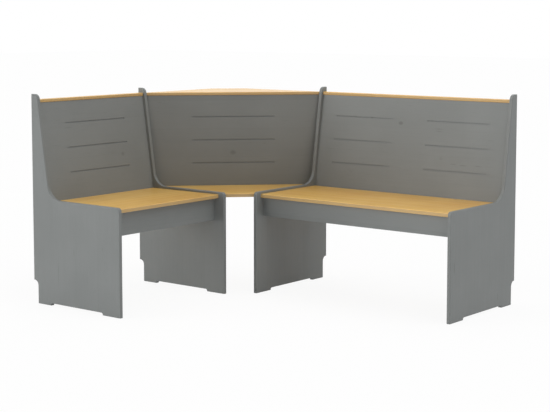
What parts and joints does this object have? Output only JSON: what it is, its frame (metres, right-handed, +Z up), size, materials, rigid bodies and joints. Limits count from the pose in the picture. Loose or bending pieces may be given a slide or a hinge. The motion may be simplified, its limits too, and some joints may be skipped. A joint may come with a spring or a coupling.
{
  "type": "corner bench",
  "caption": "Dining corner bench: a short and a long bench joined by a diagonal corner seat, with swept panel sides, grooved backrests, aprons and wooden caps.",
  "frame": {"origin": "middle of the bounding box, on the floor", "axes": "+X along the long bench, away from the room corner; +Y to the wall behind the long bench; +Z up"},
  "size_m": [1.6, 1.25, 0.885],
  "materials": {
    "grey_paint": "satin grey paint over solid wood",
    "honey_wood": "honey stained and varnished wood",
    "bare_wood": "bare planed wood",
    "screw_steel": "zinc plated"
  },
  "bodies": {
    "root": {"short_outer_side": "grey_paint", "short_inner_side": "grey_paint", "long_inner_side": "grey_paint", "long_outer_side": "grey_paint", "short_seat": "honey_wood", "long_seat": "honey_wood", "corner_seat": "honey_wood", "short_apron": "grey_paint", "long_apron": "grey_paint", "short_rear_bearer": "bare_wood", "long_rear_bearer": "bare_wood", "short_backrest": "grey_paint", "long_backrest": "grey_paint", "corner_backrest": "grey_paint", "short_cap_rail": "honey_wood", "long_cap_rail": "honey_wood", "corner_shelf": "honey_wood", "short_seat_cleats": "bare_wood", "long_seat_cleats": "bare_wood", "corner_seat_cleats": "bare_wood", "short_back_cleats": "bare_wood", "long_back_cleats": "bare_wood", "corner_back_battens": "bare_wood", "short_frame_dowels": "bare_wood", "long_frame_dowels": "bare_wood", "cap_dowels": "bare_wood", "short_seat_screws": "screw_steel", "long_seat_screws": "screw_steel", "corner_seat_screws": "screw_steel", "short_back_screws": "screw_steel", "long_back_screws": "screw_steel", "corner_back_screws": "screw_steel"}
  },
  "joints": []
}
